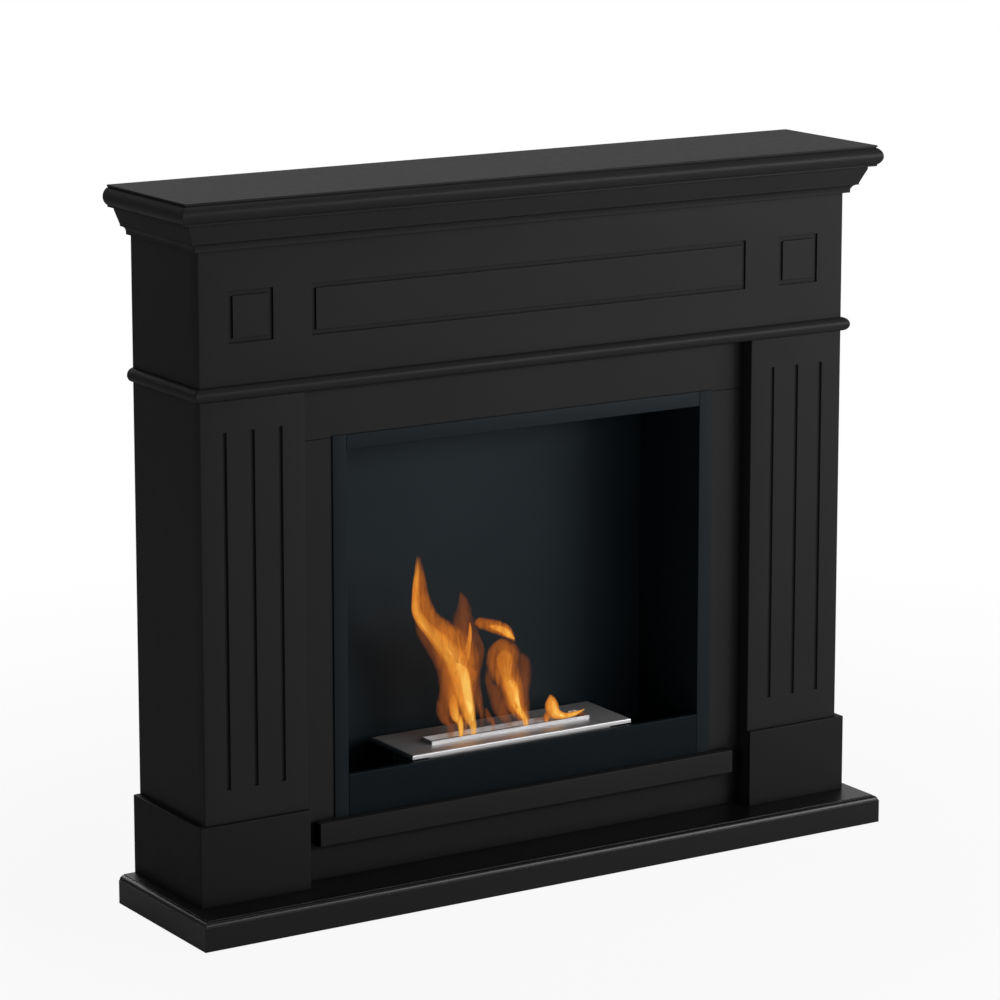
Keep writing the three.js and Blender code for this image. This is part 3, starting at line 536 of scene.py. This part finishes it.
def tongue(name, readings, material, foot=None, ahead=0.0):
    """A closed tongue of oval rings square to its run, set forwards of the slot's middle by ahead."""
    run = through(rows_of(readings, foot))
    last = len(run) - 1
    verts = []
    shape = []
    for i, (x, z, half) in enumerate(run):
        before, after = run[max(i - 1, 0)], run[min(i + 1, last)]
        along = Vector((after.x - before.x, after.y - before.y)).normalized()
        for side in range(FLAME_SIDES):
            turn = 2 * math.pi * side / FLAME_SIDES
            out = half * math.cos(turn)
            y = FLAME_Y - ahead + half * FLAME_DEPTH * math.sin(turn)
            verts.append((x - along.y * out, y, z + along.x * out))
            shape.append((abs(math.sin(turn)), i / last, 0.0, 1.0))
    faces = [
        (
            ring * FLAME_SIDES + side,
            ring * FLAME_SIDES + (side + 1) % FLAME_SIDES,
            (ring + 1) * FLAME_SIDES + (side + 1) % FLAME_SIDES,
            (ring + 1) * FLAME_SIDES + side,
        )
        for ring in range(last)
        for side in range(FLAME_SIDES)
    ]
    faces.append(tuple(range(FLAME_SIDES))[::-1])
    faces.append(tuple(last * FLAME_SIDES + side for side in range(FLAME_SIDES)))
    mesh = bpy.data.meshes.new(name)
    mesh.from_pydata(verts, [], faces)
    mesh.shade_smooth()
    colours = mesh.attributes.new("shape", "FLOAT_COLOR", "POINT")
    for entry, value in zip(colours.data, shape):
        entry.color = value
    mesh.materials.append(material)
    piece = bpy.data.objects.new(name, mesh)
    bpy.context.scene.collection.objects.link(piece)
    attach(piece, "portal")
    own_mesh(piece)


YELLOW = ((0.90, 0.32, 0.035), (1.0, 0.70, 0.17))  # each gas from its cool edge to its hot middle
BRIGHT = ((0.66, 0.175, 0.018), (1.0, 0.50, 0.070))
ORANGE = ((0.24, 0.055, 0.010), (0.78, 0.225, 0.022))
BROWN = ((0.15, 0.037, 0.011), (0.40, 0.105, 0.022))
YELLOW_GAS = flame("yellow_gas", *YELLOW, cover=0.80, ragged=0.20, foot=0.5)
BRIGHT_GAS = flame("bright_gas", *BRIGHT, cover=0.80, ragged=0.20, foot=0.5)
ORANGE_GAS = flame("orange_gas", *ORANGE, cover=0.56, ragged=0.36, foot=0.25)
BROWN_GAS = flame("brown_gas", *BROWN, cover=0.28, ragged=0.45, foot=0.18)

tongue("flame_tall_sheet", TALL_SHEET, ORANGE_GAS, foot=0.0110)
tongue("flame_tall_core", TALL_CORE, BRIGHT_GAS, foot=0.0042)
tongue("flame_hot_core", HOT_CORE, YELLOW_GAS, ahead=0.010)
tongue("flame_second_tip", SECOND_TIP, BROWN_GAS)
tongue("flame_inner_strand", INNER_STRAND, BRIGHT_GAS, ahead=0.008)
tongue("flame_left_veil", LEFT_VEIL, BROWN_GAS, foot=0.0050)
tongue("flame_left_filament", LEFT_FILAMENT, BROWN_GAS, foot=0.0040)
tongue("flame_left_wisp", LEFT_WISP, BROWN_GAS, foot=0.0036)
tongue("flame_low", LOW_FLAME, BRIGHT_GAS, foot=0.0036)
tongue("flame_side_veil", SIDE_VEIL, BROWN_GAS, foot=0.0042)
tongue("flame_middle_wisp", MIDDLE_WISP, BROWN_GAS, foot=0.0036)
tongue("flame_curl", CURL, ORANGE_GAS)
tongue("flame_curl_heart", CURL_HEART, BRIGHT_GAS, ahead=0.005)
tongue("flame_lobe", LOBE, ORANGE_GAS, foot=0.0060)
tongue("flame_lobe_core", LOBE_CORE, BRIGHT_GAS, foot=0.0034, ahead=0.005)
tongue("flame_lobe_hot", LOBE_HOT, YELLOW_GAS, ahead=0.011)
tongue("flame_lobe_right", LOBE_RIGHT, BROWN_GAS, foot=0.0040)
tongue("flame_lobe_left", LOBE_LEFT, BROWN_GAS, foot=0.0050)
tongue("flame_small", SMALL_FLAME, BRIGHT_GAS)
tongue("flame_small_foot", SMALL_FOOT, ORANGE_GAS, foot=0.0034)
tongue("flame_small_heart", SMALL_HEART, YELLOW_GAS, ahead=0.005)
tongue("flame_low_tail", LOW_TAIL, BROWN_GAS)


# ---- Background, floor, lamps and camera ----
def make_world():
    """White to the camera. To lamplight and reflections it is dim, with a light wall behind the object."""
    world = bpy.data.worlds.new("studio")
    world.use_nodes = True
    tree = world.node_tree
    tree.nodes.clear()
    direction = node(tree, "ShaderNodeTexCoord").outputs["Generated"]
    towards = calculate_vector(tree, "DOT_PRODUCT", direction, BACK_LIGHT_TOWARDS)
    wall = spread(tree, towards, 0.0, 1.0, from_low=BACK_LIGHT_EDGE, from_high=BACK_LIGHT_FULL)
    lit = blend_colours(tree, wall, (*AMBIENT, 1), (*BACK_LIGHT, 1))
    seen = node(tree, "ShaderNodeLightPath").outputs["Is Camera Ray"]
    colour = blend_colours(tree, seen, lit, (*BACKGROUND, 1))
    background = node(tree, "ShaderNodeBackground", Color=colour, Strength=1.0)
    output = tree.nodes.new("ShaderNodeOutputWorld")
    tree.links.new(background.outputs[0], output.inputs["Surface"])
    bpy.context.scene.world = world


def floor_material():
    """A matt grey floor that leans to white, wholly so away from the object, and keeps its shadow."""
    material = bpy.data.materials.new("floor")
    material.use_nodes = True
    tree = material.node_tree
    tree.nodes.clear()
    matt = node(tree, "ShaderNodeBsdfDiffuse", Color=(*FLOOR_COLOUR, 1))
    white = node(tree, "ShaderNodeEmission", Color=(*BACKGROUND, 1), Strength=1.0)
    away = calculate_vector(tree, "LENGTH", node(tree, "ShaderNodeTexCoord").outputs["Object"])
    glow = spread(tree, away, FLOOR_GLOW, 1.0, from_low=FLOOR_NEAR, from_high=FLOOR_FAR)
    path = node(tree, "ShaderNodeLightPath").outputs
    sheen = spread(tree, path["Is Glossy Ray"], 0.0, FLOOR_SHEEN)
    share = calculate(tree, "MULTIPLY", glow, blend_values(tree, path["Is Camera Ray"], sheen, 1.0))
    mix = node(tree, "ShaderNodeMixShader")
    put(tree, mix.inputs[0], share)
    put(tree, mix.inputs[1], matt.outputs[0])
    put(tree, mix.inputs[2], white.outputs[0])
    output = tree.nodes.new("ShaderNodeOutputMaterial")
    tree.links.new(mix.outputs[0], output.inputs["Surface"])
    return material


def make_floor():
    mesh = bpy.data.meshes.new("floor")
    turn = 2 * math.pi / FLOOR_SIDES
    turns = [i * turn for i in range(FLOOR_SIDES)]
    rim = [(FLOOR_RADIUS * math.cos(angle), FLOOR_RADIUS * math.sin(angle), 0.0) for angle in turns]
    mesh.from_pydata(rim, [], [list(range(FLOOR_SIDES))])
    mesh.materials.append(floor_material())
    floor = bpy.data.objects.new("floor", mesh)
    bpy.context.scene.collection.objects.link(floor)


def lamp(name, place, target, size, watts):
    data = bpy.data.lights.new(name, "AREA")
    data.shape = "RECTANGLE"
    data.size, data.size_y = size
    data.energy = watts
    made = bpy.data.objects.new(name, data)
    bpy.context.scene.collection.objects.link(made)
    made.location = place
    made.rotation_euler = (Vector(target) - Vector(place)).to_track_quat("-Z", "Y").to_euler()
    made.visible_camera = False


def make_camera():
    data = bpy.data.cameras.new("camera")
    data.lens = CAMERA_LENS
    data.shift_y = CAMERA_SHIFT_Y
    data.clip_end = CAMERA_CLIP_END
    camera = bpy.data.objects.new("camera", data)
    bpy.context.scene.collection.objects.link(camera)
    yaw = math.radians(CAMERA_YAW)
    pitch = math.radians(CAMERA_PITCH)
    level = math.cos(pitch)
    ahead = Vector((math.sin(yaw) * level, math.cos(yaw) * level, math.sin(pitch)))
    camera.location = CAMERA_PLACE
    camera.rotation_euler = ahead.to_track_quat("-Z", "Y").to_euler()
    bpy.context.scene.camera = camera


make_world()
make_floor()
for settings in LAMPS:
    lamp(*settings)
make_camera()

bpy.context.scene.view_settings.view_transform = "Standard"
